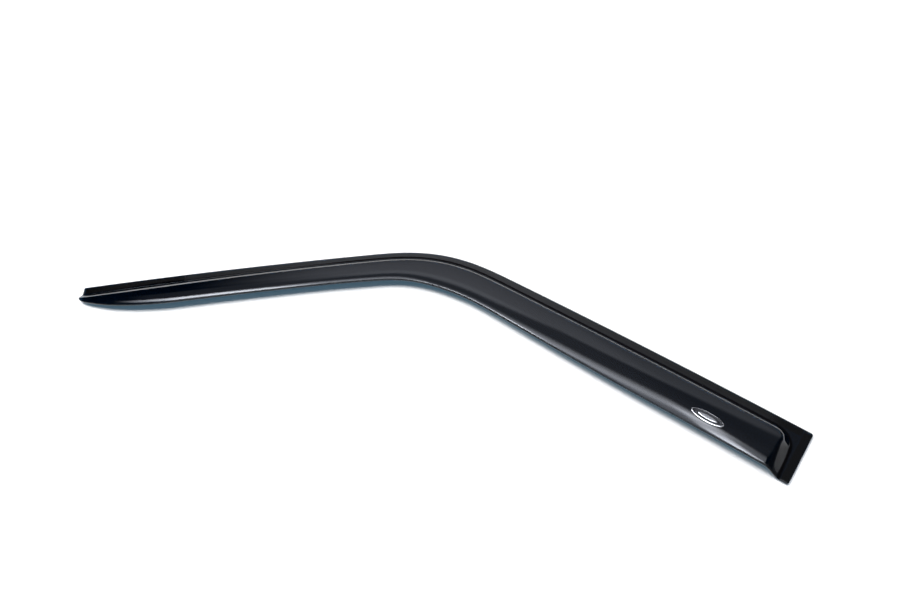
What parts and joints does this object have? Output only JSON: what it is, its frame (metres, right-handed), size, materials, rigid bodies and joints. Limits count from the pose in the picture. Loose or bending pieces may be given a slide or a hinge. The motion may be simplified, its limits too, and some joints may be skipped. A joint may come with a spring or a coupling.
{
  "type": "window rain deflector",
  "caption": "Smoked acrylic rain deflector for a front left car door: a curved, tapering blade with a stepped, taped mounting flange.",
  "frame": {"origin": "middle of the roof stretch, in the plane of the taped side that meets the door frame, on the underside of its release film", "axes": "+X along the roof edge towards the rear end of the door, +Y up the door, +Z away from the door"},
  "size_m": [0.7929, 0.3203, 0.0184],
  "materials": {
    "smoked_acrylic": "glossy, with a satin flange",
    "foam_tape": "matte foam",
    "release_film": "satin film",
    "badge_metal": "polished rim round a dark field"
  },
  "bodies": {
    "root": {"visor": "smoked_acrylic", "tape_rear": "foam_tape", "tape_roof": "foam_tape", "tape_bend": "foam_tape", "tape_pillar": "foam_tape", "liner_rear": "release_film", "liner_roof": "release_film", "liner_bend": "release_film", "liner_pillar": "release_film", "badge": "badge_metal"}
  },
  "joints": []
}
